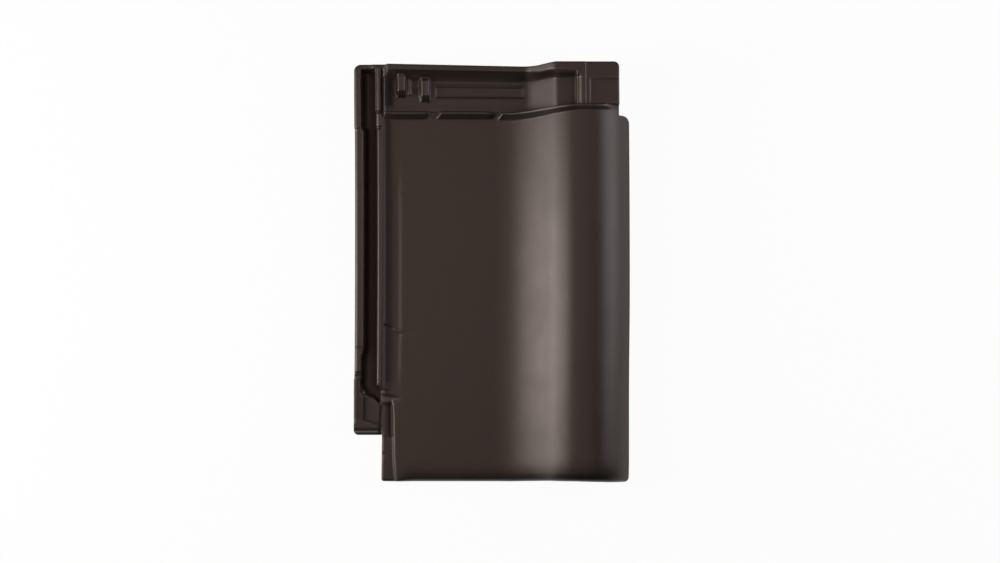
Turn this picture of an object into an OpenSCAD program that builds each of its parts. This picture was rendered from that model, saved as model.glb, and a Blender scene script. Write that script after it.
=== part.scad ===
// Interlocking clay roof tile with a flat pan, one cover roll, a side lock and a head lock.
// The tile is drawn in its own frame: X runs across from the side lock to the roll, Y runs up
// from the foot to the head, and Z is zero on the face of the pan. It is then set down on the
// nibs and the foot rib, as it lies on a level floor.

/* [Tile] */
// Overall length from foot to head
tile_length = 424; // [400:1:460]
// Overall width from the side lock to the edge of the roll
tile_width = 280; // [270:1:310]
// Wall thickness of the pan and the roll
wall = 11; // [9:0.5:13]

/* [Roll] */
// Height of the roll's crest above the pan
roll_height = 36; // [30:1:42]
// Radius of the crest
crest_radius = 54; // [51:1:56]
// Angle that the crest's arc turns through from the top to the edge of the roll
flank_angle = 57; // [54:1:62]
// Width of the rise from the pan to the crest
rise_run = 94; // [88:1:98]
// Straight drop of the lip below the end of the crest's arc
lip_drop = 10.4; // [8:0.2:12]

/* [Side lock] */
// Width of the outer rim
rim_width = 8.7; // [7.5:0.1:10]
// Height of the outer rim above the pan
rim_height = 3; // [2:0.5:5]
// Width of the main water channel at its floor
channel_width = 9.6; // [8.6:0.2:12]
// Depth of the main water channel below the pan
channel_depth = 8.5; // [7:0.5:9.5]
// Width of the rib between the two channels
lock_rib_width = 5; // [4:0.2:7]
// Height of that rib above the pan
lock_rib_height = 4; // [3:0.5:6]
// Run of the rib's slope down to the second, shallow channel
rib_slope_run = 3.5; // [3:0.1:4.5]
// Run of the gentle fall from the rib's foot into the shallow channel
shallow_fall_run = 7.6; // [6.5:0.1:9]
// Width of the shallow channel at its floor
shallow_width = 6; // [4:0.5:8]
// Depth of the shallow channel below the pan
shallow_depth = 1; // [0.8:0.1:1.6]
// Run of the shallow channel's slope up to the pan
shallow_rise_run = 4.6; // [4:0.2:6]
// Depth of the pad at the foot of the lock, below the pan
outlet_depth = 2.6; // [2:0.2:3.4]
// Thickness of the floor under the water channel
lock_floor = 8.5; // [7:0.5:10]
// Slope of the lock's side walls, as run across each wall
draft_run = 1.6; // [1:0.1:2.5]

/* [Head lock] */
// Length of the head that lies under the tile above
head_lap = 47; // [44:1:54]
// Level of the trough floor above the pan
trough_level = 1; // [0:0.5:3]
// Height of the head rim above the trough floor
head_rim_height = 8; // [5:0.5:9]
// Width of the head rim's flat top
head_rim_width = 6; // [5:0.5:9]
// Width of the slope from the trough floor up to the rim
head_slope_run = 9.5; // [8:0.5:12]
// How much shorter the head is on the roll's side
head_skew = 1.7; // [0:0.1:3]
// How much shorter the head is at the foot of the roll
head_dip = 3.1; // [1:0.1:4]
// Where the trough starts to climb the roll, from the left edge
climb_start = 180; // [174:1:184]
// Where the trough reaches the roll's level, from the left edge
climb_end = 208; // [204:1:212]
// Level of the trough floor on the roll, above the pan
trough_roll_level = 27; // [24:1:28]
// Right end of the trough, from the left edge
trough_right = 227; // [222:1:230]
// Height of the step rib above the pan
step_rib_height = 4; // [3:0.5:5]
// Height of the step rib above the crest
step_rib_crest = 2.4; // [1.6:0.2:3]
// How much nearer the head the step rib runs over the crest
step_rib_lean = 2.4; // [0:0.2:4]
// Width of each drain gap through the step rib
drain_width = 7; // [5:0.5:8]

/* [Corners] */
// Length of the cut at the lower left corner
foot_cut_length = 47; // [44:0.2:54]
// Width of the cut at the lower left corner
foot_cut_width = 27.6; // [26:0.2:29]
// Length of the cut at the upper right corner
head_cut_length = 52; // [50:1:58]
// Width of the cut at the upper right corner
head_cut_width = 10.8; // [10:0.2:13]
// Length over which the foot edge is rounded down
nose_length = 9; // [6:0.5:11]
// Drop of the rounded foot edge
nose_drop = 6; // [4:0.5:7]

/* [Underside] */
// Width of each batten nib
nib_width = 30; // [24:1:36]
// Depth of the nib below the pan's face
nib_depth = 28; // [25:0.5:32]
// Distance from the head to the bearing face of the nibs
nib_setback = 38; // [34:1:42]
// Thickness of each nib at its root
nib_root = 20; // [16:1:24]
// Left edge of the nib under the pan
pan_nib_x = 62; // [56:1:70]
// Left edge of the nib beside the roll
roll_nib_x = 146; // [138:1:148]
// Depth of the foot rib below the pan's face
foot_rib_depth = 17.5; // [16:0.5:19]
// Width of the foot rib at its root
foot_rib_width = 11; // [9:0.5:14]
// Width of the cover rib under the roll
cover_rib_width = 5; // [4:0.5:6]
// Gap between the cover rib and the floor of the channel it hangs in
cover_rib_gap = 2.5; // [1.5:0.5:4]

/* [Hidden] */

clay_brown = [0.2, 0.165, 0.15];
fillet_steps = 3;
past = 4; // how far a cutter reaches beyond what it cuts
sunk = 3; // how deep an added rib is rooted in the wall

// Side lock, from left to right
channel_left = rim_width + draft_run;
channel_right = channel_left + channel_width;
lock_rib_left = channel_right + draft_run;
lock_rib_right = lock_rib_left + lock_rib_width;
rib_foot = lock_rib_right + rib_slope_run;
rib_foot_level = 0.3;
shallow_left = rib_foot + shallow_fall_run;
shallow_right = shallow_left + shallow_width;
pan_left = shallow_right + shallow_rise_run;
slab_left = lock_rib_right + 6.5;
lock_underside = -channel_depth - lock_floor;
lock_bevel = 4;

// Roll: a hollow arc that leaves the pan, then the crest's arc, tangent where they meet
crest_x = tile_width - crest_radius * sin(flank_angle);
crest_center = roll_height - crest_radius;
rise_x = crest_x - rise_run;
hollow_radius = (rise_run * rise_run + roll_height * roll_height) / (2 * roll_height) - crest_radius;
rise_angle = 2 * atan(roll_height / rise_run);
rise_steps = 12;
crest_steps = 30;

// Lengthwise marks
head_y = tile_length - head_lap;
rib_y = head_y - 1.5;
rim_y = tile_length - head_rim_width;
slope_y = rim_y - head_slope_run;
cut_right = tile_width - head_cut_width;
outlet_y = foot_cut_length + 42.2;

// Cover lock: the cover rib hangs in the middle of the next tile's channel, and the roll's lip
// passes that tile's lock rib with a little room
lock_room = 3.2;
lip_z = crest_center + crest_radius * cos(flank_angle) - lip_drop;
lip_angle = acos((lip_z - crest_center) / (crest_radius - wall));
lip_inner = crest_x + (crest_radius - wall) * sin(lip_angle);
cover_rib_center = lip_inner - lock_room - (lock_rib_right - channel_right) - channel_width / 2;
cover_rib_bottom = cover_rib_gap - channel_depth;

// Resting line: the floor under the foot rib and the nibs, seen in the tile's own frame
foot_rib_y = 10;
nib_y = tile_length - nib_setback;
nib_thick = nib_root / 2;
rest_tilt = atan2(nib_depth - foot_rib_depth, nib_y - foot_rib_y);
function floor_z(y) = -foot_rib_depth - (y - foot_rib_y) * tan(rest_tilt);
foot_lean = (roll_height - nose_drop - floor_z(0)) * sin(rest_tilt);

// Rounds the corners of an outline: each corner is [x, y, radius].
function unit(v) = v / norm(v);
function corner_arc(a, b, c, r) =
    let (
        u = unit(a - b),
        v = unit(c - b),
        half = acos(u * v) / 2,
        center = b + unit(u + v) * r / sin(half),
        from = b + u * r / tan(half) - center,
        to = b + v * r / tan(half) - center,
        turn = 180 - 2 * half
    )
    [for (k = [0:fillet_steps]) let (s = k / fillet_steps)
        center + (from * sin((1 - s) * turn) + to * sin(s * turn)) / sin(turn)];
function flat(p) = [p[0], p[1]];
function rounded(corners) =
    let (n = len(corners))
    [for (i = [0:n - 1])
        each corners[i][2] == 0
            ? [flat(corners[i])]
            : corner_arc(flat(corners[(i + n - 1) % n]), flat(corners[i]), flat(corners[(i + 1) % n]),
                corners[i][2])];

// The roll's line at a depth below its face, from the pan to the edge of the roll.
function rise_line(depth) =
    let (r = hollow_radius + depth)
    [for (k = [0:rise_steps]) let (a = rise_angle * k / rise_steps)
        [rise_x + r * sin(a), hollow_radius - r * cos(a)]];
function crest_line(depth, last_angle) =
    let (r = crest_radius - depth)
    [for (k = [1:crest_steps]) let (a = -rise_angle + (rise_angle + last_angle) * k / crest_steps)
        [crest_x + r * sin(a), crest_center + r * cos(a)]];
function roll_line(depth, last_angle) = concat(rise_line(depth), crest_line(depth, last_angle));
function reversed(list) = [for (i = [len(list) - 1:-1:0]) list[i]];

// Skins a stack of closed rings, each with the same number of points, and caps both ends.
module loft(rings) {
    n = len(rings[0]);
    last = (len(rings) - 1) * n;
    sides = [for (j = [0:len(rings) - 2]) for (i = [0:n - 1])
        let (a = j * n + i, b = j * n + (i + 1) % n)
        each [[a, b, b + n], [a, b + n, a + n]]];
    polyhedron([for (ring = rings) each ring],
        concat(sides, [[for (i = [n - 1:-1:0]) i]], [[for (i = [0:n - 1]) last + i]]), convexity = 6);
}

// Extrudes an outline drawn in X and Z along Y, from one mark to another.
module along(from_y, to_y) {
    translate([0, to_y, 0]) rotate([90, 0, 0]) linear_extrude(to_y - from_y) children();
}

// Extrudes an outline drawn in Y and Z across X, from one mark to another.
module across(from_x, to_x) {
    translate([from_x, 0, 0]) rotate([90, 0, 90]) linear_extrude(to_x - from_x) children();
}

// Section of the pan, the roll and the cover rib.
module wave_section() {
    step = shallow_depth + 0.6;
    slope = shallow_rise_run / shallow_depth;
    polygon(concat(
        [[slab_left, -wall], [slab_left, -step], [pan_left - slope * step, -step], [pan_left, 0]],
        roll_line(0, flank_angle),
        [[tile_width, lip_z]],
        reversed(roll_line(wall, lip_angle))));
}

// Downward rib under the roll that hangs in the water channel of the next tile.
module cover_rib() {
    half = cover_rib_width / 2;
    top = roll_height - wall - 2;
    polygon(rounded([
        [cover_rib_center - half - draft_run, top, 0], [cover_rib_center + half + draft_run, top, 0],
        [cover_rib_center + half, cover_rib_bottom, 2], [cover_rib_center - half, cover_rib_bottom, 2]]));
}

// Section of the side lock: outer rim, water channel, rib and shallow channel.
module lock_section() {
    polygon(rounded([
        [0, rim_height, 2.5], [rim_width, rim_height, 1.5],
        [channel_left, -channel_depth, 2], [channel_right, -channel_depth, 2],
        [lock_rib_left, lock_rib_height, 1.8], [lock_rib_right, lock_rib_height, 1.8],
        [rib_foot, rib_foot_level, 1], [shallow_left, -shallow_depth, 2],
        [shallow_right + 1, -shallow_depth, 0],
        [shallow_right + 1, sunk - wall, 0], [slab_left + 3, sunk - wall, 0],
        [slab_left - 6, lock_underside, 2], [lock_bevel, lock_underside, 2],
        [0, lock_underside + lock_bevel, 1.5]]));
}

// Section of the head, filled up to the level of the head rim.
module head_section() {
    rim_top = trough_level + head_rim_height;
    plateau = trough_roll_level + head_rim_height;
    groove = 1.7;
    lip = 8;
    polygon(rounded([
        [lock_rib_right + 3.5, -shallow_depth, 0], [lock_rib_right + 6, rim_top, 1.5],
        [climb_start - 3, rim_top, 12], [climb_end - 3, plateau, 6], [trough_right + 4.5, plateau, 1],
        [trough_right + 6, plateau - groove, 0.8],
        [trough_right + 9.5, plateau - groove, 0.8], [trough_right + 11, plateau, 1],
        [cut_right, plateau, 3], [cut_right, lip, 1.5], [cut_right - lip, lip, 1.5],
        [cut_right - lip - 3, plateau - wall, 4], [trough_right + 9, plateau - wall, 2],
        [trough_right + 3, trough_roll_level - wall, 2], [climb_end + 5, trough_roll_level - wall, 8],
        [climb_start + 5, -wall, 8], [lock_rib_right + 3.5, -wall, 0]]));
}

// Space of the trough: a floor that climbs the roll, and a slope up to the head rim.
module trough_space() {
    high = 40;
    left_wall = lock_rib_right + 3.4;
    floor_line = rounded([
        [left_wall, trough_level + 9.5, 0], [left_wall + 6.1, trough_level, 2],
        [climb_start, trough_level, 12], [climb_end, trough_roll_level, 4],
        [trough_right, trough_roll_level, 2], [trough_right + 2, trough_roll_level + 9, 0],
        [trough_right + 2, trough_roll_level + high, 0], [left_wall, trough_roll_level + high, 0]]);
    slope = head_rim_height / head_slope_run;
    marks = [[head_y + 1, 0], [slope_y - 2, 0], [slope_y + 2, slope],
        [rim_y + past, head_rim_height + slope * past]];
    loft([for (m = marks) [for (p = floor_line) [p[0], m[0], p[1] + m[1]]]]);
}

// Rib that follows the roll between the main face and the trough, lower over the crest.
module step_rib() {
    path = concat([[lock_rib_right + 2, 0]], roll_line(0, flank_angle * 0.55));
    fall = step_rib_height - step_rib_crest;
    function climb(p) = min(1, max(0, p[1] / roll_height));
    function rib_height(p) = step_rib_height - fall * climb(p);
    function front(p) = rib_y + step_rib_lean * climb(p);
    loft([for (p = path)
        [[p[0], front(p) - 8.5, p[1] - sunk], [p[0], front(p) - 0.8, p[1] + rib_height(p)],
            [p[0], front(p) + 1.5, p[1] + rib_height(p)], [p[0], front(p) + 6, p[1] - sunk]]]);
}

// Gaps that let water out of the trough, cut slantwise through the step rib.
module drains() {
    slant = 22;
    for (x = [lock_rib_right + 55, rise_x + 6.7])
        translate([x, rib_y, trough_level - 0.4]) rotate([0, 0, -slant])
            translate([-drain_width / 2, -11, 0]) cube([drain_width, 17, 12]);
}

// Cams on the trough floor that carry the foot of the tile above, and a low ledge beside the first.
module cams() {
    cam_width = 9.2;
    cam_height = 5.5;
    end_run = 6;
    ledge_height = 1.4;
    cam_back = slope_y + 6;
    first_cam = lock_rib_right + 16.5;
    for (cam = [[first_cam, slope_y - 17.5], [first_cam + 24.3, slope_y - 22.5]])
        across(cam[0], cam[0] + cam_width)
            polygon([[cam[1] - 1, trough_level - sunk], [cam[1] - 1, trough_level - 0.9],
                [cam[1] + end_run, trough_level + cam_height], [cam_back, trough_level + cam_height + 0.6],
                [cam_back, trough_level - sunk]]);
    across(first_cam + cam_width - 1, first_cam + cam_width + 5.6)
        polygon([[slope_y - 16, trough_level - sunk], [slope_y - 15, trough_level + ledge_height],
            [slope_y + 3, trough_level + ledge_height], [slope_y + 3, trough_level - sunk]]);
}

// Blank panel pressed into the trough floor.
module panel() {
    panel_depth = 0.7;
    panel_long = 91.5;
    panel_high = 11.5;
    left = lock_rib_right + 55.5;
    bottom = slope_y - 17.5;
    translate([0, 0, trough_level - panel_depth])
        linear_extrude(past)
            polygon(rounded([[left, bottom, 1.5], [left + panel_long, bottom, 1.5],
                [left + panel_long, bottom + panel_high, 1.5], [left, bottom + panel_high, 1.5]]));
}

// Wall that closes the water channel at the head.
module channel_end() {
    end_thick = 5;
    top = rim_height - 0.5;
    across(rim_width / 2, lock_rib_left + lock_rib_width / 2)
        polygon([[tile_length - end_thick - 4, -channel_depth - sunk], [tile_length - end_thick, top],
            [tile_length + past, top], [tile_length + past, -channel_depth - sunk]]);
}

// Where the water leaves the lock: the rib stops, and a slanted pad turns the water on to the pan.
module outlet_cut() {
    translate([channel_right - 1, foot_cut_length + 30, -outlet_depth - 1.2])
        cube([slab_left - channel_right + 2.5, outlet_y + 10 - foot_cut_length - 30, 20]);
}

module outlet_pad() {
    left = rim_width - 3;
    right = lock_rib_left + 5.5;
    start = foot_cut_length;
    translate([0, 0, -channel_depth - sunk])
        linear_extrude(channel_depth + sunk - outlet_depth)
            polygon([[left, start], [right, start], [right, start + 30.6], [left, start + 42]]);
}

// Line of the raised edge beside the corner cut, moved sideways by a shift.
function ridge_line(shift) =
    let (marks = [[-4.1, -past], [-7.1, foot_cut_length + 3], [-7.1, foot_cut_length + 19],
        [-9.1, outlet_y - 8.5]])
    [for (p = marks) [pan_left + p[0] + shift, p[1]]];

// Edge of the pan beside the corner cut, set a little to the left of the pan above it.
module pan_edge() {
    top = 0.2;
    inner = pan_left + 4;
    translate([0, 0, -wall / 2])
        linear_extrude(wall / 2 + top)
            polygon(concat(ridge_line(0),
                [[pan_left - 2, outlet_y - 7], [inner, outlet_y - 12], [inner, -past]]));
}

// Low strip to the left of that edge, from the outlet down to the foot.
module foot_strip() {
    translate([0, 0, -outlet_depth - 1.4])
        linear_extrude(20)
            polygon(concat([[channel_right - 1, outlet_y + 2], [channel_right - 1, -past]], ridge_line(-0.8),
                [[pan_left - 10.5, outlet_y - 1.2]]));
}

// Slanted gap that lets water out of the shallow channel on to the pan.
module slant_gap() {
    gap_depth = 0.8;
    translate([0, 0, -shallow_depth - gap_depth])
        linear_extrude(20)
            polygon([[rib_foot + 1, outlet_y + 67], [pan_left + 1, outlet_y + 57],
                [pan_left + 1, outlet_y + 61], [rib_foot + 1, outlet_y + 71]]);
}

// Notches across the lock rib, and the lowered middle of the outer rim.
module lock_notches() {
    notch = 2.6;
    rim_step = 0.8;
    for (y = [head_y - 3, head_y - 20])
        translate([lock_rib_left - 2, y, lock_rib_height - 1.8]) cube([lock_rib_width + 5, notch, 10]);
    low_from = outlet_y + 20;
    low_to = head_y - 18;
    translate([-past, low_from, rim_height - rim_step]) cube([rim_width + past + 1, low_to - low_from, 10]);
    translate([-past, low_from, rim_height - 2]) cube([rim_width + past - 2, notch + 1, 10]);
    // The channel is wider at both ends of the rim
    wide = 2.2;
    for (part = [[-past, low_from + 18], [low_to, tile_length - 6]])
        translate([rim_width - wide, part[0], 0.5 - channel_depth]) cube([wide + 2, part[1] - part[0], 20]);
}

// Shallow step on the plateau beside the trough.
module plateau_step() {
    step = 0.9;
    translate([trough_right + 12, head_y + 1, trough_roll_level + head_rim_height - step])
        cube([cut_right - trough_right, slope_y - head_y - 3, 10]);
}

// Cutter for the rounded foot edge; it follows the roll and fades out towards the side lock.
module foot_nose() {
    path = concat([[pan_left + 4, past + 3], [pan_left + 12, 0]], roll_line(0, flank_angle),
        [[tile_width + past, roll_line(0, flank_angle)[rise_steps + crest_steps][1] - 2 * past]]);
    profile = [[-past, -nose_drop], [0, -nose_drop], [nose_length * 0.12, -nose_drop * 0.53],
        [nose_length * 0.36, -nose_drop * 0.23], [nose_length * 0.75, -nose_drop * 0.06],
        [nose_length * 1.25, nose_drop * 0.08], [nose_length * 1.25, 14], [-past, 14]];
    loft([for (p = path) [for (q = reversed(profile)) [p[0], q[0], p[1] + q[1]]]]);
}

// Outline of the tile seen from above, with both corner cuts.
module plan_outline() {
    polygon(rounded([
        [foot_cut_width, 0, 3], [tile_width, 0, 5], [tile_width, tile_length - head_cut_length, 9],
        [cut_right, tile_length - head_cut_length, 1.5], [cut_right, tile_length - head_skew, 4],
        [climb_end - 2, tile_length - head_skew, 0], [climb_start - 2, tile_length - head_dip, 0],
        [lock_rib_right + 9.5, tile_length, 0], [0, tile_length, 5],
        [0, foot_cut_length, 3], [foot_cut_width, foot_cut_length, 1.5]]));
}

// Nibs that hook over the batten; their feet lie on the resting line.
module nibs() {
    root = sunk - wall;
    for (x = [pan_nib_x, roll_nib_x])
        across(x, x + nib_width)
            polygon([[nib_y, root], [nib_y, floor_z(nib_y)], [nib_y + nib_thick, floor_z(nib_y + nib_thick)],
                [nib_y + nib_root, root]]);
}

// Rib across the foot that drops into the trough of the tile below.
module foot_rib() {
    half = foot_rib_width / 2;
    across(pan_left + 6, rise_x + 6)
        polygon([[foot_rib_y - half, -wall + sunk],
            [foot_rib_y - half + 2.5, floor_z(foot_rib_y - half + 2.5)],
            [foot_rib_y + half - 2.5, floor_z(foot_rib_y + half - 2.5)], [foot_rib_y + half, -wall + sunk]]);
}

// The whole tile in its own frame.
module tile() {
    intersection() {
        difference() {
            union() {
                along(-past, head_y + 6) wave_section();
                along(-past, head_y + 6) cover_rib();
                along(-past, tile_length + past) lock_section();
                along(head_y, tile_length + past) head_section();
                step_rib();
                channel_end();
                pan_edge();
            }
            trough_space();
            drains();
            outlet_cut();
            foot_strip();
            slant_gap();
            lock_notches();
            plateau_step();
            foot_nose();
        }
        translate([0, 0, -60]) linear_extrude(140) plan_outline();
    }
}

// The finished tile, set down on its nibs and foot rib with the origin under its middle.
module roof_tile() {
    color(clay_brown)
        translate([-tile_width / 2, (foot_lean - tile_length * cos(rest_tilt)) / 2, 0])
            rotate([rest_tilt, 0, 0])
                translate([0, 0, -floor_z(0)])
                    union() {
                        difference() {
                            union() {
                                tile();
                                cams();
                                outlet_pad();
                            }
                            panel();
                        }
                        nibs();
                        foot_rib();
                    }
}

roof_tile();
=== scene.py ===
import math

import bmesh
import bpy
import numpy as np
from mathutils import Matrix, Vector


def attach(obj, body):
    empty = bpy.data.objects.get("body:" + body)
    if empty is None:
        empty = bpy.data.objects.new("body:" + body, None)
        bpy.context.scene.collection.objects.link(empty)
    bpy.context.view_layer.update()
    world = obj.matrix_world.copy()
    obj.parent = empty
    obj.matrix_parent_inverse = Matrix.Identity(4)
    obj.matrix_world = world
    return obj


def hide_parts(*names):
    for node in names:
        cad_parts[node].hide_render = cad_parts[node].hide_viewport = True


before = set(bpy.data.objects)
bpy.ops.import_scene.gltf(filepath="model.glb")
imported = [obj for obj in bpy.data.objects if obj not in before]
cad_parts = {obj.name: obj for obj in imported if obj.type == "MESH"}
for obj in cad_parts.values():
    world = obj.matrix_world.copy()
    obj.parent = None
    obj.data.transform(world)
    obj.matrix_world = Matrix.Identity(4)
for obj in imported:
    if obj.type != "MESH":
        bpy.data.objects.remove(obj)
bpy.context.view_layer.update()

# Clay body: one slab of clay, pressed between two mould halves and fired hard. The pan is flat,
# and the roll leaves it in one sweep, turns over the crest and ends in a short lip.
# All sizes are millimetres in the tile's own frame, with the pan's face at zero.
length = 424.0
width = 280.0
wall = 11.0
grain = 0.4
x, y = np.meshgrid(np.arange(0, width + grain / 2, grain), np.arange(0, length + grain / 2, grain))

crest_radius = 54.0
crest_height = 36.0
flank = math.radians(57)
rise_run = 94.0
crest_x = width - crest_radius * math.sin(flank)
crest_center = crest_height - crest_radius
rise_x = crest_x - rise_run
hollow_radius = (rise_run ** 2 + crest_height ** 2) / (2 * crest_height) - crest_radius
rise_turn = 2 * math.atan(crest_height / rise_run)
lip_drop = 10.4
lip_z = crest_center + crest_radius * math.cos(flank) - lip_drop
lip_inner = crest_x + math.sqrt((crest_radius - wall) ** 2 - (lip_z - crest_center) ** 2)


def roll(depth):
    """Height of the pan and the roll at a depth below their face."""
    hollow = hollow_radius + depth
    crest = crest_radius - depth
    rise = hollow_radius - np.sqrt(np.maximum(hollow ** 2 - (x - rise_x) ** 2, 0))
    top = crest_center + np.sqrt(np.maximum(crest ** 2 - (x - crest_x) ** 2, 0))
    meet = rise_x + hollow * math.sin(rise_turn)
    return np.where(x < rise_x, -depth, np.where(x < meet, rise, top))


def ramp(places, *marks):
    """Height that runs straight from mark to mark, each a place and a height."""
    return np.interp(places, [mark[0] for mark in marks], [mark[1] for mark in marks])


def band(places, low, high, edge=1.0):
    """One from the low place to the high one and zero beyond, with slanted edges."""
    return np.clip(np.minimum(places - low, high - places) / edge + 0.5, 0, 1)


def soften(heights, reach):
    """Rounds a mould face as wet clay rounds: a running average in both directions."""
    steps = np.arange(-math.ceil(3 * reach / grain), math.ceil(3 * reach / grain) + 1)
    weights = np.exp(-0.5 * (steps * grain / reach) ** 2)
    weights /= weights.sum()
    for axis in (0, 1):
        margin = [(0, 0), (0, 0)]
        margin[axis] = (len(steps) // 2, len(steps) // 2)
        wide = np.pad(heights, margin, mode="edge")
        heights = sum(w * np.take(wide, np.arange(k, k + heights.shape[axis]), axis)
                      for k, w in enumerate(weights))
    return heights


face = roll(0)
back = np.where(x > lip_inner, lip_z, roll(wall))

# Side lock: the outer rim, the deep water channel, the lock rib and the shallow channel, all
# pressed along the left edge. The cover rib of the next tile hangs in the deep channel.
channel_low = -9.4
rim_side = 15.0
lock_width = 51.0
channel_floor = ramp(x, (10, -8.0), (21, channel_low))
rim_inside = ramp(y, (125, 6.4), (134, 8.9), (357.5, 8.9), (359, 6.9))
rim_top = ramp(y, (50, -0.9), (64, -0.8), (90, 1.4), (107, 3.0), (109, 2.2), (357.5, 2.2), (359.5, 3.0))
rim_top = rim_top - 1.3 * band(y, 107.8, 110.4, 0.6) - 0.6 * band(y, 130.5, 136, 2.0)
rib_left = ramp(y, (357, 21.6), (359, 20.9), (374, 20.9), (376, 20.2))

# At the foot the channel rises to a slanted pad. A low step frames the pad towards the rim and the
# foot, and on its right it drops to the strip that leads the water off.
pad_top = ramp(x, (9.8, 88.2), (19.3, 83.8), (24.4, 78.6), (27, 77))
pad_foot = ramp(x, (9.1, 63.3), (24, 58.2))
pad_right = ramp(y, (50, 24.3), (57, 24.5), (70, 25.5), (80, 26.2))
past_foot = np.clip((y - pad_foot) / 1.6 + 0.5, 0, 1)
pad_inside = np.minimum(ramp(x, (9, 0), (10.4, 0.6), (11.6, 0.88), (13.2, 1)), past_foot)
pad_level = -2.7
strip_level = -3.6
pad = rim_top + (pad_level - rim_top) * pad_inside
pad = pad + (strip_level - pad) * ramp(x - pad_right, (0, 0), (0.8, 0.5), (2, 1))
end_wall = ramp(y - pad_top, (-0.6, -2.3), (0, -3.3), (0.7, -3.3), (1.2, -2.8), (3.2, channel_low))
end_facet = ramp(y - pad_top + 1.2 * (x - 9.8), (1.5, -2.9), (6, -3.6), (8.5, channel_low))
end_facet = np.where(y > pad_top + 1.2, end_facet, channel_low)
floor_level = np.maximum(channel_floor, np.maximum(end_wall, end_facet))

# The rib carries a fine groove along its top, and a ledge beside it leads into the shallow channel
rim_wall = ramp(x - rim_inside, (0, 0), (1.1, 0.42), (2.5, 0.78), (4, 0.95), (6, 1))
rim = rim_top - (rim_top - floor_level) * rim_wall
rib_top = 4.0
rib = floor_level + (rib_top - floor_level) * np.clip((x - rib_left) / 1.2, 0, 1)
rib = rib - 1.4 * band(x, 22.8, 23.6, 0.6)
shallow = ramp(x, (27.4, 4.1), (28.5, 1.3), (29.6, 1.3), (30.3, 1.7), (31.4, 1.7), (32.2, 1.35),
               (36, 0.12), (38, -0.38), (40, -0.62), (42, -0.74), (44.2, -0.74), (48.2, 0))
riser_fade = ramp(y, (94, 0.25), (114, 1), (295, 1), (330, 0))
shallow = np.where(shallow < 0, shallow * riser_fade, shallow)
rib = np.minimum(rib, shallow)
for notch in (358.4, 374.4):
    rib = rib - 1.6 * band(y, notch, notch + 1.8, 0.8) * band(x, 21, 28, 1.0)
# A slanted gap lets water from the shallow channel out on to the pan
gap_head = ramp(x, (30.5, 160.5), (39.7, 157), (48, 153.8))
gap_foot = ramp(x, (31, 156), (38.1, 152.9), (46.9, 148.1))
gap = np.clip((gap_head - y) / 2.6, 0, 1) * np.clip((y - gap_foot) / 1.8, 0, 1)
gap_wall = band(gap_head - y, 0.2, 2.6, 0.8) * band(x, 30.8, 38.6, 1.4)
rib = rib - gap * ramp(x, (30, 0), (31.2, 2.3), (37, 1.6), (40.5, 0))
rib = rib - 0.8 * band(y - gap_foot, -0.7, 0.7, 0.8) * band(x, 37.5, 46.6, 2)
gap_run_out = gap * ramp(x, (40, 0), (44.2, -0.25), (48.2, 0.37), (60, 0))
lock = np.where(x < rim_side, rim, rib)

# Outlet: the rib stops first, then the shallow channel, and a shelf runs out on to the pan. Below
# it a low strip runs down to the foot, beside the raised edge of the pan.
rib_end = ramp(x, (20, 97.2), (26, 96.4), (26.5, 94.9), (32.4, 93.3))
past_rib = np.clip((rib_end - y) / 1.2, 0, 1) * (x > rim_side)
apron = ramp(x, (25.2, channel_low), (26.2, -3.0), (29, -1.2), (31.5, 0.4), (36, 0), (38, -0.15),
             (42, -0.2), (48.2, 0))
lock = lock + (np.minimum(lock, np.maximum(apron, floor_level)) - lock) * past_rib
strip_low = -5.2
strip_foot = 46.0
strip = ramp(x, (26, strip_level), (30, -3.4), (31, -3.2), (33.4, strip_level), (36.6, strip_low),
             (40, strip_low))
strip = np.where(y < strip_foot, strip_level, strip)
ridge = ramp(y, (0, 43.4), (21, 41.3), (50.6, 40.3), (67, 40.0), (80.5, 38.8))
pan_wall = ramp(x - ridge, (-0.9, strip_low), (-0.1, 0), (0.6, 0.15), (6, 0))
pan_edge = np.where(x < ridge - 0.9, strip, pan_wall)
pan_edge = np.where(y < strip_foot, np.maximum(pan_edge, strip_level), pan_edge)
shelf = ramp(x, (25.2, channel_low), (26.2, -3.2), (28.5, -2.8), (31, -2.4), (38, -1.6), (44, -0.7), (51, 0))
shelf_end = ramp(x, (28, 80), (38, 80.5), (44, 83.5), (50, 86))
on_pan = np.clip((shelf_end - y) / 2.6, 0, 1)
outlet_level = shelf * (1 - on_pan) + pan_edge * on_pan
outlet = ramp(x, (26, 90.5), (29, 89.4), (46.3, 86), (51, 84))
past_end = np.clip((outlet - y) / 1.5, 0, 1) * (x > 25.2)
outlet_level = np.where(x < 26.2, np.maximum(outlet_level, floor_level), outlet_level)
lock = lock + (outlet_level - lock) * past_end
lock = np.where((y < pad_top) & (x < pad_right + 2), pad, lock)
face = np.where(x < lock_width, lock, face) - gap_run_out
# A groove and a bead close the end of the lock, and a small nick marks the edge of the strip
end_bead = ramp(y, (47, -6.4), (49.2, -6.0), (49.7, -5.4), (51.2, -0.5), (51.6, -0.2), (52.1, -1.0),
                (52.8, -1.0), (53.6, 0))
face = face + end_bead * np.clip((27.8 - x) / 0.6, 0, 1)
face = face - 1.2 * band(y, 25.8, 27.2, 0.8) * band(x, 26, 30.6, 1.0)
lock_back_width = 36.0
lock_back = ramp(x, (0, -13.0), (4, -17.0), (27, -17.0), (lock_back_width, -wall))
back = np.where(x < lock_back_width, lock_back, back)

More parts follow.
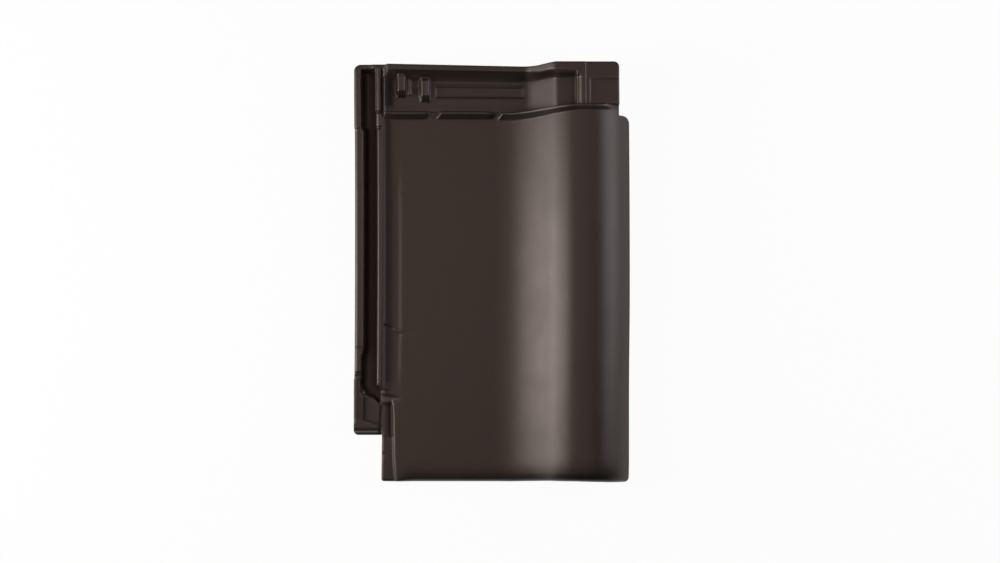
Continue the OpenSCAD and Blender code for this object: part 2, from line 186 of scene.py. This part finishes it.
# Head lock: the trough that takes the foot of the tile above, with its rim, the step rib in
# front of it, two cams that carry the upper tile, drains, and a bare plate in its floor.
plateau_left = 240.6
trough_level = 1.0
trough = ramp(x, (29.8, 0.5), (30.8, 7.4), (32.0, 7.3), (36.2, trough_level), (176, trough_level),
              (182, 3.2), (204.5, 25.8), (207.6, 27), (226.0, 27), (226.4, 32.1), (227.9, 32.9),
              (229, 32.7), (229.4, 33.9), (230.9, 34.7), (231.4, 35), (234.7, 35), (236.1, 34.2),
              (239, 34.2), (plateau_left, 33.3))
rim_line = ramp(x, (31, 4), (33.8, 8.6), (36, 9), (174, 9), (179, 11), (200, 32.4), (205, 35.2), (211, 35.2),
                (215, 35), (234.7, 35), (236.1, 34.2), (239, 34.2), (plateau_left, 34.1))
slope_start = ramp(x, (176, 407.8), (190, 408.6))
slope = ramp(x, (176, 0.77), (190, 1.38)) * np.maximum(y - slope_start, 0)
head = np.minimum(trough + slope, rim_line)
head = np.where(x > plateau_left, 34.1 - 0.8 * band(y, 360, 405.6, 1.2), head)
head = np.where((x < 33) & (y < 411), trough, head)

# Each cam has a slanted front, and the second one a groove along its top
cam_rise = 5.2
cam_run = 7.2
cam_fronts = np.zeros_like(x)
for cam_left, cam_foot, cam_head, groove in ((43.0, 389.6, 414.6, 0.0), (67.4, 384.8, 409.6, 0.7)):
    cam = cam_rise * np.clip((y - cam_foot) / cam_run, 0, 1)
    cam = cam - groove * band(x, cam_left + 3.6, cam_left + 5.6, 1)
    cam = cam * np.clip(np.minimum((x - cam_left + 0.4) / 2.2, (cam_left + 10.0 - x) / 0.9), 0, 1)
    cam = trough_level + cam * np.clip((cam_head - y) / 1.6 + 0.5, 0, 1)
    head = np.where(y < 418, np.maximum(head, np.minimum(cam, rim_line)), head)
    on_front = band(y, cam_foot, cam_foot + cam_run, 1.0) * band(x, cam_left, cam_left + 9.6, 1.0)
    cam_fronts = np.maximum(cam_fronts, on_front)
cam_ledge = trough_level + 1.6 * band(x, 54.4, 58.0, 1.0) * band(y, 392.5, 412, 1.2)
head = np.maximum(head, np.minimum(cam_ledge, 4))
head = head - 1.3 * band(x, 58.6, 66.4, 1.2) * ramp(y, (392, 0), (400, 1), (409, 1), (412, 0))

# The plate is sunk a little, with a thin raised frame
plate = band(x, 82.0, 173.6, 1.0) * band(y, 388.6, 403.0, 1.0)
plate_frame = plate - band(x, 83.4, 172.2, 0.8) * band(y, 390.0, 401.6, 0.8)
head = head - 0.8 * plate + 1.4 * plate_frame

# The step rib rises in a slope towards the trough, and two slanted drains cut through it
front = ramp(x, (128, 373.0), (150, 372.2), (164, 371.9), (179, 373.2), (190, 374.3), (228, 377.0))
slope_foot = front - ramp(x, (140, 5.4), (190, 5.4), (228, 3.4))
rib_height = ramp(x, (32, 4), (150, 4.2), (190, 4.6), (228, 2.3), (255, 2.1), (266, 0))
step = rib_height * np.clip((y - slope_foot) / (front - slope_foot), 0, 1)
for drain, reach in ((85.4, 11.4), (148.4, 6.4)):
    across = x - drain - (y - 375) * 0.5
    step = step * (1 - np.clip((across + reach) / 3.4, 0, 1) * np.clip((2.8 - across) / 1.2, 0, 1))
face = face + step * np.clip((x - 29) / 2, 0, 1)
behind = np.where(x > 29.4, np.clip((y - front - 2.0) / 0.3, 0, 1), 0)
# A low wall closes the water channel at the head
channel_end = ramp(y, (415.4, -20), (419.0, 2.4), (424, 2.6)) + ramp(x, (16, 0), (20, 1.4))
face = np.where((x > 4) & (x < 30), np.maximum(face, channel_end), face)

head_back_start = 377.0
head_back_full = 383.0
head_back = ramp(x, (lock_back_width, -wall), (181, -wall), (187, -8.5), (209, 14), (214, 16), (230, 16),
                 (236, 24), (258.2, 24), (261.2, 8), (269.2, 8))
head_back = np.where(y < head_back_full, np.minimum(back, head_back), head_back)
back = np.where((y > head_back_start) & (x > lock_back_width), head_back, back)

# Foot: the edge that laps over the tile below is rounded down, and the rounding fades out
# towards the cut corner.
foot_drop = 6.0
nose_place = y / ramp(x, (150, 1), (190, 1.3))
nose = ramp(nose_place, (0, -foot_drop), (0.5, -4.4), (1.1, -3.4), (2, -2.6), (3.5, -1.8), (6, -1.0),
            (10, -0.4), (14, -0.12), (18, 0))
face = face + nose * ramp(x, (46, 0.12), (60, 1))

# Underside: two nibs that hook over the roof batten, a foot rib that drops into the trough of the
# tile below, and the cover rib that hangs in the next tile's water channel.
nib_depth = 28.0
nib_face = 386.0
nib_width = 30.0
foot_rib_depth = 17.5
foot_rib_place = 10.0
cover_rib_place = 258.7
cover_rib_low = -6.0
tilt = math.atan2(nib_depth - foot_rib_depth, nib_face - foot_rib_place)
floor_line = -foot_rib_depth - (y - foot_rib_place) * math.tan(tilt)
cover_rib = cover_rib_low + np.maximum(np.abs(x - cover_rib_place) - 2.5, 0) * 17
back = np.where(y < head_back_full, np.minimum(back, cover_rib), back)
foot_rib = floor_line + np.maximum(np.abs(y - foot_rib_place) - 3, 0) * 2.6
foot_rib = foot_rib + np.maximum(np.maximum(54 - x, x - 146), 0) * 2.6
back = np.minimum(back, foot_rib)
for nib_left in (62.0, 146.0):
    nib = floor_line + np.maximum(y - nib_face - 10, 0) * 1.9 + np.maximum(nib_face - y, 0) * 30
    past_side = np.maximum(nib_left + 0.4 - x, x - nib_left - nib_width + 0.4)
    back = np.minimum(back, nib + np.maximum(past_side, 0) * 12)

# Pressing: the slab is a grid whose lines lie closer where the mould has detail. Its corners are cut
# out, it is raised into a closed block, and both mould faces are pressed into it.
face_softness = 0.55
head_softness = 0.3
back_softness = 0.7
least_wall = 2.2
floor_clearance = 0.04
face = soften(face, face_softness) * (1 - behind) + soften(head, head_softness) * behind
back = np.minimum(soften(back, back_softness), face - least_wall)
back = np.maximum(back, floor_line + floor_clearance)

# Edges that stand out wear. Hollows get painted shade: the channels, the corners round the pad, the side
# of the outlet and the left end of the trough are painted darker, and slip gathers there and dulls them.
wear = np.clip((face - soften(face, 1.8)) / 0.5, 0, 1)
recess = np.clip((soften(face, 5.0) - face) / 6, 0, 1)
recess = recess * (1 - 0.85 * band(x, 7.5, 14.5, 3) * (y > 95))
beside_rib = ramp(x, (31.2, 0), (32.2, 1), (36, 0.9), (40, 0.2), (42, 0)) * band(y, 98, 370, 8)
right_of_pad = band(x - pad_right, 0, 2.4, 1.0) * band(y, 50, 78, 2)
left_of_pad = band(x, 9.6, 12.0, 1.6) * band(y, 62, 86, 3)
below_pad = band(y - pad_foot, -0.9, 0.9, 0.8) * band(x, 9, 22, 2)
beside_outlet = band(x, 24.8, 27.4, 1) * band(y, 79, 95, 2)
trough_end = ramp(x, (31, 0), (32, 1), (38, 1), (43, 0)) * band(y, 380, 416, 5)
for share, place in ((0.85, beside_rib), (0.95, right_of_pad), (0.95, left_of_pad), (0.95, below_pad),
                     (0.9, beside_outlet), (0.9, trough_end)):
    recess = np.maximum(recess, share * place)

# Painted shade: the slopes of the step rib, cams, trough, foot, lock rib and gap are painted darker, as shade
# falls on them, together with the hollows, but no duller
rib_front = band(y, slope_foot + 0.6, front - 0.2, 1.2) * band(x, 33, 226, 3)
trough_slope = band(y, 411, 418.4, 2.5) * band(x, 37, 205, 4)
roll_foot = ramp(nose_place, (6, 1), (15, 0)) * ramp(x, (150, 0), (190, 1))
rib_side = 0.8 * band(x, 27.4, 29.4, 0.8) * band(y, 98, 370, 2)
painted_shade = recess
for place in (rib_front, cam_fronts, trough_slope, roll_foot, rib_side, gap_wall):
    painted_shade = np.maximum(painted_shade, place)
recess = recess * (1 - gap_wall)


def lines(*spans):
    """Places of the grid's lines, each span a start, an end and a step."""
    places = []
    for low, high, spacing in spans:
        places.append(np.linspace(low, high, max(1, round((high - low) / spacing)), endpoint=False))
    return np.append(np.concatenate(places), spans[-1][1])


def sample(heights, across, along):
    """Height of a mould face between its points."""
    column = np.clip(across / grain, 0, heights.shape[1] - 1.001)
    row = np.clip(along / grain, 0, heights.shape[0] - 1.001)
    left = column.astype(int)
    low = row.astype(int)
    u = column - left
    v = row - low
    lower_row = heights[low, left] * (1 - u) + heights[low, left + 1] * u
    upper_row = heights[low + 1, left] * (1 - u) + heights[low + 1, left + 1] * u
    return lower_row * (1 - v) + upper_row * v


lines_x = lines((0, 1.2, 0.4), (1.2, 6, 1.2), (6, 11, 0.6), (11, 19.5, 1.6), (19.5, 28.2, 0.54),
                (28.2, 39, 0.6), (39, 43.2, 0.9), (43.2, 48.6, 0.8), (48.6, 79, 1.3), (79, 90, 1.1),
                (90, 142, 3.2), (142, 156, 1.2), (156, 176, 2.6), (176, 225.6, 2.3), (225.6, 231.6, 0.45),
                (231.6, 241.6, 0.6), (241.6, 266.2, 2.4), (266.2, 269.2, 0.6), (269.2, 278, 1.3),
                (278, 280, 0.4))
lines_y = lines((0, 2, 0.4), (2, 10, 1), (10, 24, 3.5), (24, 28.4, 0.9), (28.4, 44.6, 3), (44.6, 47, 0.6),
                (47, 55, 0.7), (55, 106, 1.3), (106, 112, 0.9), (112, 128, 3), (128, 138, 1.6), (138, 147, 3),
                (147, 163, 1.0), (163, 352, 9), (352, 356.8, 2), (356.8, 361.6, 0.8), (361.6, 367, 1.8),
                (367, 369.2, 0.55), (369.2, 374, 0.53), (374, 380.4, 0.36), (380.4, 383, 0.8),
                (383, 387.6, 1.5), (387.6, 390.8, 0.64), (390.8, 400.6, 1.4), (400.6, 403.8, 0.64),
                (403.8, 418.6, 1.3), (418.6, 424, 0.6))
cut_left, cut_foot = 28.2, 47.0
cut_right, cut_head = 269.2, 369.2

press = bmesh.new()
worn = press.verts.layers.float.new("edge_wear")
sunken = press.verts.layers.float.new("recess")
painted_shade_layer = press.verts.layers.float.new("painted_shade")
bmesh.ops.create_grid(press, x_segments=len(lines_x) - 1, y_segments=len(lines_y) - 1, size=0.5)
for vert in press.verts:
    vert.co.x = lines_x[round((vert.co.x + 0.5) * (len(lines_x) - 1))]
    vert.co.y = lines_y[round((vert.co.y + 0.5) * (len(lines_y) - 1))]
corners = []
for slab_face in press.faces:
    middle = slab_face.calc_center_median()
    in_foot = middle.x < cut_left and middle.y < cut_foot
    in_head = middle.x > cut_right and middle.y > cut_head
    if in_foot or in_head:
        corners.append(slab_face)
bmesh.ops.delete(press, geom=corners, context="FACES")
raised = bmesh.ops.extrude_face_region(press, geom=press.faces[:], use_keep_orig=True)
top_verts = [item for item in raised["geom"] if isinstance(item, bmesh.types.BMVert)]
top_set = set(top_verts)
under_verts = [vert for vert in press.verts if vert not in top_set]
side_edges = [edge for edge in press.edges if (edge.verts[0] in top_set) != (edge.verts[1] in top_set)]


def pressed(verts, heights, round_off, direction):
    """Puts one mould face on its side of the slab, with rounded corners and a rounded outer edge."""
    px = np.array([vert.co.x for vert in verts])
    py = np.array([vert.co.y for vert in verts])
    to_left = np.where(py < cut_foot, px - cut_left, px)
    to_right = np.where(py > cut_head, cut_right - px, width - px)
    to_foot = np.where(px < cut_left, py - cut_foot, py)
    to_head = np.where(px > cut_right, cut_head - py, length - py)
    inside_foot = np.hypot(np.maximum(px - cut_left, 0), np.maximum(py - cut_foot, 0))
    inside_head = np.hypot(np.maximum(cut_right - px, 0), np.maximum(cut_head - py, 0))
    edge = np.minimum(np.minimum(to_left, to_right), np.minimum(to_foot, to_head))
    edge = np.minimum(edge, np.minimum(inside_foot, inside_head))
    rounds = ((cut_left, 0, -1, -1, 3), (width, 0, 1, -1, 5), (width, cut_head, 1, 1, 7.4),
              (cut_right, length, 1, 1, 5.4), (0, length, -1, 1, 7), (0, cut_foot, -1, -1, 4.5))
    for cx, cy, sx, sy, radius in rounds:
        u = sx * (px - cx) + radius
        v = sy * (py - cy) + radius
        near = (u > 0) & (v > 0) & (u < radius + 0.01) & (v < radius + 0.01)
        pull = np.where(near, np.maximum(u, v) / np.maximum(np.hypot(u, v), 1e-9), 1)
        px = np.where(near, cx + sx * (u * pull - radius), px)
        py = np.where(near, cy + sy * (v * pull - radius), py)
    pz = sample(heights, px, py)
    inner = np.clip(round_off - edge, 0, round_off)
    pz = pz - direction * (round_off - np.sqrt(round_off ** 2 - inner ** 2))
    # Drying and firing draw the tile a little: the head and the foot dip, and the sides bow
    head_dip = ramp(px, (36, 0.3), (178, 3.45), (187, 3.75), (206, 2.1))
    foot_dip = ramp(px, (160, 0), (185, 0.9), (200, 1.7), (225, 1.7), (250, 1), (262, 0.5), (280, 0.3))
    bow_depth = 1.2
    bow = bow_depth - bow_depth * ((py - 230) / 219) ** 2
    py = py - head_dip * np.clip((py - 380) / 40, 0, 1) + foot_dip * np.clip((30 - py) / 30, 0, 1)
    side_step = 0.5 * np.clip(np.maximum(105.5 - py, py - 357) / 3, 0, 1) * (px < 12)
    right_draw = 0.45 * px / width * band(py, 50, 150, 60)
    bow_room = 1.5
    side_clearance = 0.03
    px = np.maximum(px * (1 - bow_room / width) + bow - side_step - right_draw, side_clearance)
    for vert, place in zip(verts, zip(px, py, pz)):
        vert.co = place


round_x = np.array([vert.co.x for vert in top_verts])
round_y = np.array([vert.co.y for vert in top_verts])
round_off = np.where(round_x > 276, 1.2, np.where((round_y > 410) & (round_x > 34), 1.5, 2.2))
round_off = np.where((round_x < 5) & (round_y > 110), 3.2, round_off)
round_off = np.where((round_x < 28) & (round_y < 60), 1.0, round_off)
pressed(top_verts, face, round_off, 1)
pressed(under_verts, back, 1.0, -1)
for layer, amounts in ((worn, wear), (sunken, recess), (painted_shade_layer, painted_shade)):
    for vert, amount in zip(top_verts, sample(amounts, round_x, round_y)):
        vert[layer] = amount
bmesh.ops.subdivide_edges(press, edges=side_edges, cuts=3)

# The tile lies on its nibs and foot rib, so the whole press is turned by that small tilt
floor_zero = -foot_rib_depth + foot_rib_place * math.tan(tilt)
lean = (crest_height - foot_drop - floor_zero) * math.sin(tilt)
lay = (Matrix.Scale(0.001, 4) @ Matrix.Translation((-width / 2, (lean - length * math.cos(tilt)) / 2, 0))
       @ Matrix.Rotation(tilt, 4, "X") @ Matrix.Translation((0, 0, -floor_zero)))
bmesh.ops.transform(press, matrix=lay, verts=press.verts)
bmesh.ops.recalc_face_normals(press, faces=press.faces)
for slab_face in press.faces:
    slab_face.smooth = True
tile_mesh = bpy.data.meshes.new("pressed_tile")
press.to_mesh(tile_mesh)
press.free()
tile = bpy.data.objects.new("pressed_tile", tile_mesh)
bpy.context.collection.objects.link(tile)
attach(tile, "root")
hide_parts("roof_tile")


# Engobe: the thin slip that covers the clay before it is fired. It comes out of the kiln as a dark brown
# satin skin, a little worn on the ribs and slightly uneven where the slip ran; painted shade darkens it in
# the hollows and on slopes turned from the lamps.
class Link:
    """A shader socket that adds Math nodes when it is used in an expression."""

    def __init__(self, socket):
        self.socket = socket

    @classmethod
    def node(cls, tree, kind, settings, sockets, output=0):
        made = tree.nodes.new(kind)
        for name, value in settings.items():
            setattr(made, name, value)
        for key, value in sockets.items():
            if isinstance(value, Link):
                tree.links.new(value.socket, made.inputs[key])
            else:
                made.inputs[key].default_value = value
        return cls(made.outputs[output])

    def math(self, operation, first, second):
        tree = self.socket.id_data
        return Link.node(tree, "ShaderNodeMath", {"operation": operation}, {0: first, 1: second})

    def __add__(self, other):
        return self.math("ADD", self, other)

    def __mul__(self, other):
        return self.math("MULTIPLY", self, other)

    __radd__ = __add__
    __rmul__ = __mul__


thin_brown = (0.0137, 0.0082, 0.0058, 1)
full_brown = (0.0165, 0.0098, 0.0068, 1)
worn_brown = (0.045, 0.031, 0.024, 1)
# Near-black brown that is painted in as shade
painted_shade_brown = (0.005, 0.0033, 0.0025, 1)
warm_gloss = (1, 0.82, 0.74, 1)
engobe = bpy.data.materials.new("dark_brown_engobe")
engobe.use_nodes = True
skin = engobe.node_tree
shader = skin.nodes["Principled BSDF"]
spot = Link.node(skin, "ShaderNodeTexCoord", {}, {}, "Object")
mottle = Link.node(skin, "ShaderNodeTexNoise", {},
                   {"Vector": spot, "Scale": 34.0, "Detail": 4.0, "Roughness": 0.6})
speck = Link.node(skin, "ShaderNodeTexNoise", {}, {"Vector": spot, "Scale": 900.0, "Detail": 2.0})
bare = Link.node(skin, "ShaderNodeAttribute", {"attribute_name": "edge_wear"}, {}, "Fac")
patch = Link.node(skin, "ShaderNodeMapRange", {}, {"Value": mottle, "From Min": 0.3, "From Max": 0.7})
dark = Link.node(skin, "ShaderNodeMix", {"data_type": "RGBA"},
                 {"Factor": patch, "A": thin_brown, "B": full_brown}, 2)
worn_color = Link.node(skin, "ShaderNodeMix", {"data_type": "RGBA"},
                       {"Factor": bare * 0.35, "A": dark, "B": worn_brown}, 2)
pooled = Link.node(skin, "ShaderNodeAttribute", {"attribute_name": "recess"}, {}, "Fac")
painted_shade_fac = Link.node(skin, "ShaderNodeAttribute", {"attribute_name": "painted_shade"}, {}, "Fac")
# Painted shade: the base colour is darkened towards near-black brown over the hollows and the slopes where
# shade falls
painted_shade_color = Link.node(skin, "ShaderNodeMix", {"data_type": "RGBA"},
                 {"Factor": 0.85 * painted_shade_fac, "A": worn_color, "B": painted_shade_brown}, 2)
skin.links.new(painted_shade_color.socket, shader.inputs["Base Color"])
rough = 0.33 + 0.06 * patch + 0.05 * speck + 0.55 * pooled
skin.links.new(rough.socket, shader.inputs["Roughness"])
shader.inputs["Specular Tint"].default_value = warm_gloss
grain_bump = Link.node(skin, "ShaderNodeBump", {},
                       {"Strength": 0.12, "Distance": 0.0004, "Height": speck + 1.5 * mottle})
skin.links.new(grain_bump.socket, shader.inputs["Normal"])
tile_mesh.materials.append(engobe)


# Floor: a plain white sheet under the tile, lit evenly, that still takes the tile's shadow.
def seen_rays(tree):
    """One for rays from the camera, from gloss and through glass, and zero for scattered light."""
    camera_ray = Link.node(tree, "ShaderNodeLightPath", {}, {}, "Is Camera Ray")
    glossy_ray = Link.node(tree, "ShaderNodeLightPath", {}, {}, "Is Glossy Ray")
    clear_ray = Link.node(tree, "ShaderNodeLightPath", {}, {}, "Is Transmission Ray")
    return camera_ray + glossy_ray + clear_ray


sheet_half = 4.0
sheet_drop = 0.0005
sheet_white = 0.95
floor_press = bmesh.new()
bmesh.ops.create_grid(floor_press, x_segments=1, y_segments=1, size=sheet_half,
                      matrix=Matrix.Translation((0, 0, -sheet_drop)))
floor_mesh = bpy.data.meshes.new("floor")
floor_press.to_mesh(floor_mesh)
floor_press.free()
floor = bpy.data.objects.new("floor", floor_mesh)
bpy.context.collection.objects.link(floor)
sheet = bpy.data.materials.new("white_sheet")
sheet.use_nodes = True
paper = sheet.node_tree
for spare in list(paper.nodes):
    paper.nodes.remove(spare)
seen = sheet_white * seen_rays(paper)
matte = Link.node(paper, "ShaderNodeBsdfDiffuse", {}, {"Color": (0.8, 0.8, 0.8, 1)})
glow = Link.node(paper, "ShaderNodeEmission", {}, {"Strength": 1.0})
mixed = Link.node(paper, "ShaderNodeMixShader", {}, {0: seen, 1: matte, 2: glow})
finish = paper.nodes.new("ShaderNodeOutputMaterial")
paper.links.new(mixed.socket, finish.inputs["Surface"])
floor_mesh.materials.append(sheet)


# Light: a tall softbox on the left with a low one beside it, cool ones on the right, and a large
# warm one overhead.
def softbox(name, stand, aim, wide, high, power, color):
    """Sets up one lamp at its stand, turned to its aim, with sizes in metres and power in watts."""
    data = bpy.data.lights.new(name, "AREA")
    data.shape = "RECTANGLE"
    data.size = wide
    data.size_y = high
    data.energy = power
    data.color = color
    lamp = bpy.data.objects.new(name, data)
    bpy.context.collection.objects.link(lamp)
    turn = (Vector(aim) - Vector(stand)).to_track_quat("-Z", "Y")
    lamp.matrix_world = Matrix.Translation(Vector(stand)) @ turn.to_matrix().to_4x4()


softbox("left_softbox", (-1.22, -0.03, 0.74), (0, -0.02, 0), 0.46, 1.42, 16.8, (1, 0.99, 0.97))
softbox("left_low_softbox", (-1.38, 0.06, 0.40), (0, 0.0, 0), 0.8, 0.7, 5.6, (0.9, 0.97, 1))
softbox("right_softbox", (1.17, 0.32, 0.77), (0, 0.05, 0), 1.0, 0.75, 9.4, (0.8, 0.88, 1))
softbox("right_low_softbox", (1.35, 0.3, 0.45), (0, 0.05, 0), 1.0, 0.5, 1.6, (0.8, 0.88, 1))
softbox("overhead_softbox", (0, 0.25, 2.3), (0, 0.25, 0), 2.0, 2.0, 10.7, (1, 0.87, 0.86))

# Backdrop: a low white cove all round the floor, with a dim room above it. The cove's edge is given
# as the height of a view's direction, from its last full white to its end.
cove_full = 0.165
cove_end = 0.2
room_light = 0.02
cove_light = 0.93
world = bpy.data.worlds.new("studio")
bpy.context.scene.world = world
world.use_nodes = True
room = world.node_tree
heading = Link.node(room, "ShaderNodeTexCoord", {}, {}, "Generated")
height = Link.node(room, "ShaderNodeSeparateXYZ", {}, {"Vector": heading}, "Z")
cove = Link.node(room, "ShaderNodeMapRange", {},
                 {"Value": height, "From Min": cove_end, "From Max": cove_full})
strength = room_light + cove_light * seen_rays(room) * cove
room.nodes["Background"].inputs["Color"].default_value = (1, 1, 1, 1)
room.links.new(strength.socket, room.nodes["Background"].inputs["Strength"])

# Camera: almost straight above the tile, a little towards its foot.
eye = lay @ Vector((154.6, 110.2, 2000))
target = lay @ Vector((148.56, 157.14, 0))
sensor_width = 36
picture_width = 1.0146
lens = bpy.data.cameras.new("camera")
lens.lens = sensor_width * (eye - target).length / picture_width
lens.shift_y = 0.045
camera = bpy.data.objects.new("camera", lens)
bpy.context.collection.objects.link(camera)
away = (eye - target).normalized()
right = Vector((0, 1, 0)).cross(away).normalized()
camera.matrix_world = Matrix.Translation(eye) @ Matrix((right, away.cross(right), away)).transposed().to_4x4()
bpy.context.scene.camera = camera
bpy.context.scene.view_settings.view_transform = "Standard"
